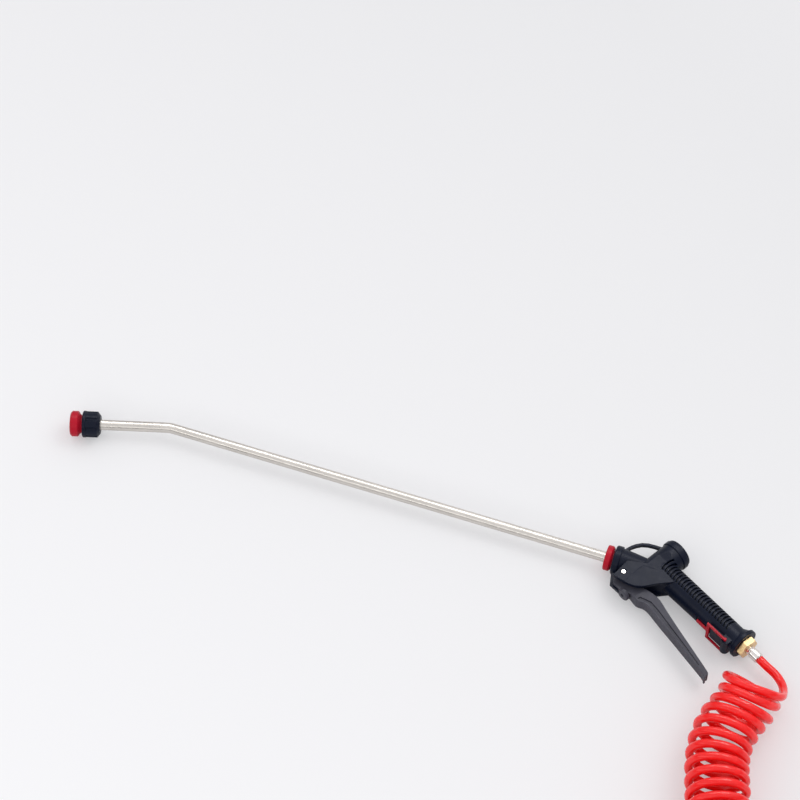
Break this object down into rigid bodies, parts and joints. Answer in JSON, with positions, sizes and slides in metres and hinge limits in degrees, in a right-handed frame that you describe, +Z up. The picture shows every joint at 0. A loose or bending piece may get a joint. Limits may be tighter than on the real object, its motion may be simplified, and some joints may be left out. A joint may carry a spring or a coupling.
{
  "type": "spray_lance",
  "caption": "Spray lance with trigger gun: bent steel tube, adjustable red nozzle, ribbed handle with lock clip, and a red coiled hose with a threaded far end.",
  "frame": {"origin": "where the trigger's pivot axis meets the floor that the gun lies on", "axes": "+X points from the nozzle to the gun along the lance, +Y away from the trigger, +Z up from the floor"},
  "size_m": [0.8143, 0.5014, 0.0578],
  "materials": {
    "black_plastic": "fine satin moulding",
    "grey_plastic": "fine satin moulding",
    "red_plastic": "satin",
    "white_plastic": "satin",
    "red_hose": "glossy polyurethane",
    "rubber": "matt",
    "steel": "satin stainless",
    "nickel": "bright nickel plate",
    "brass": "turned"
  },
  "bodies": {
    "gun": {"body": "black_plastic", "valve_cap": "black_plastic", "cap_seal": "rubber", "valve_seat": "brass", "stem_seal": "rubber", "gland_nut": "brass", "trigger_pin": "nickel", "clip_pin": "steel", "inlet_filter": "white_plastic", "lance_tube": "steel", "lance_nut": "red_plastic", "lance_ferrule": "white_plastic", "lance_seal": "rubber", "nozzle_body": "black_plastic", "nozzle_nut": "black_plastic", "nozzle_seal": "rubber", "swirl_core": "white_plastic", "inlet_adapter": "brass", "inlet_washer": "rubber", "hose_stem": "nickel", "hose_nut": "nickel", "hose_lead": "red_hose", "hose_curls": "red_hose", "far_nut": "nickel", "far_connector": "brass"},
    "trigger": {"trigger": "grey_plastic", "adjuster": "steel"},
    "stem": {"valve_stem": "steel", "poppet": "rubber", "valve_spring": "steel"},
    "clip": {"lock_clip": "red_plastic"},
    "cap": {"nozzle_cap": "red_plastic"}
  },
  "joints": [
    {"name": "trigger_pull", "type": "hinge", "parent": "gun", "child": "trigger", "pos_m": [0, 0, 0.015], "axis": [0, 0, 1], "range_deg": [0, 11], "stiffness_Nm_per_rad": 1, "springref_deg": -22.92},
    {"name": "valve_lift", "type": "slide", "parent": "gun", "child": "stem", "axis": [0.5, 0.866, 0], "range_m": [0, 0.0029]},
    {"name": "clip_swing", "type": "hinge", "parent": "gun", "child": "clip", "pos_m": [0.1087, -0.03812, 0.015], "axis": [0, 0, -1], "range_deg": [-8, 0]},
    {"name": "cap_twist", "type": "hinge", "parent": "gun", "child": "cap", "pos_m": [-0.545, -0.00908, 0.015], "axis": [-0.9603, -0.279, 0], "range_deg": [0, 270]}
  ],
  "couplings": [
    {"joint": "valve_lift", "follows": "trigger_pull", "m_per_rad": 0.0147}
  ]
}
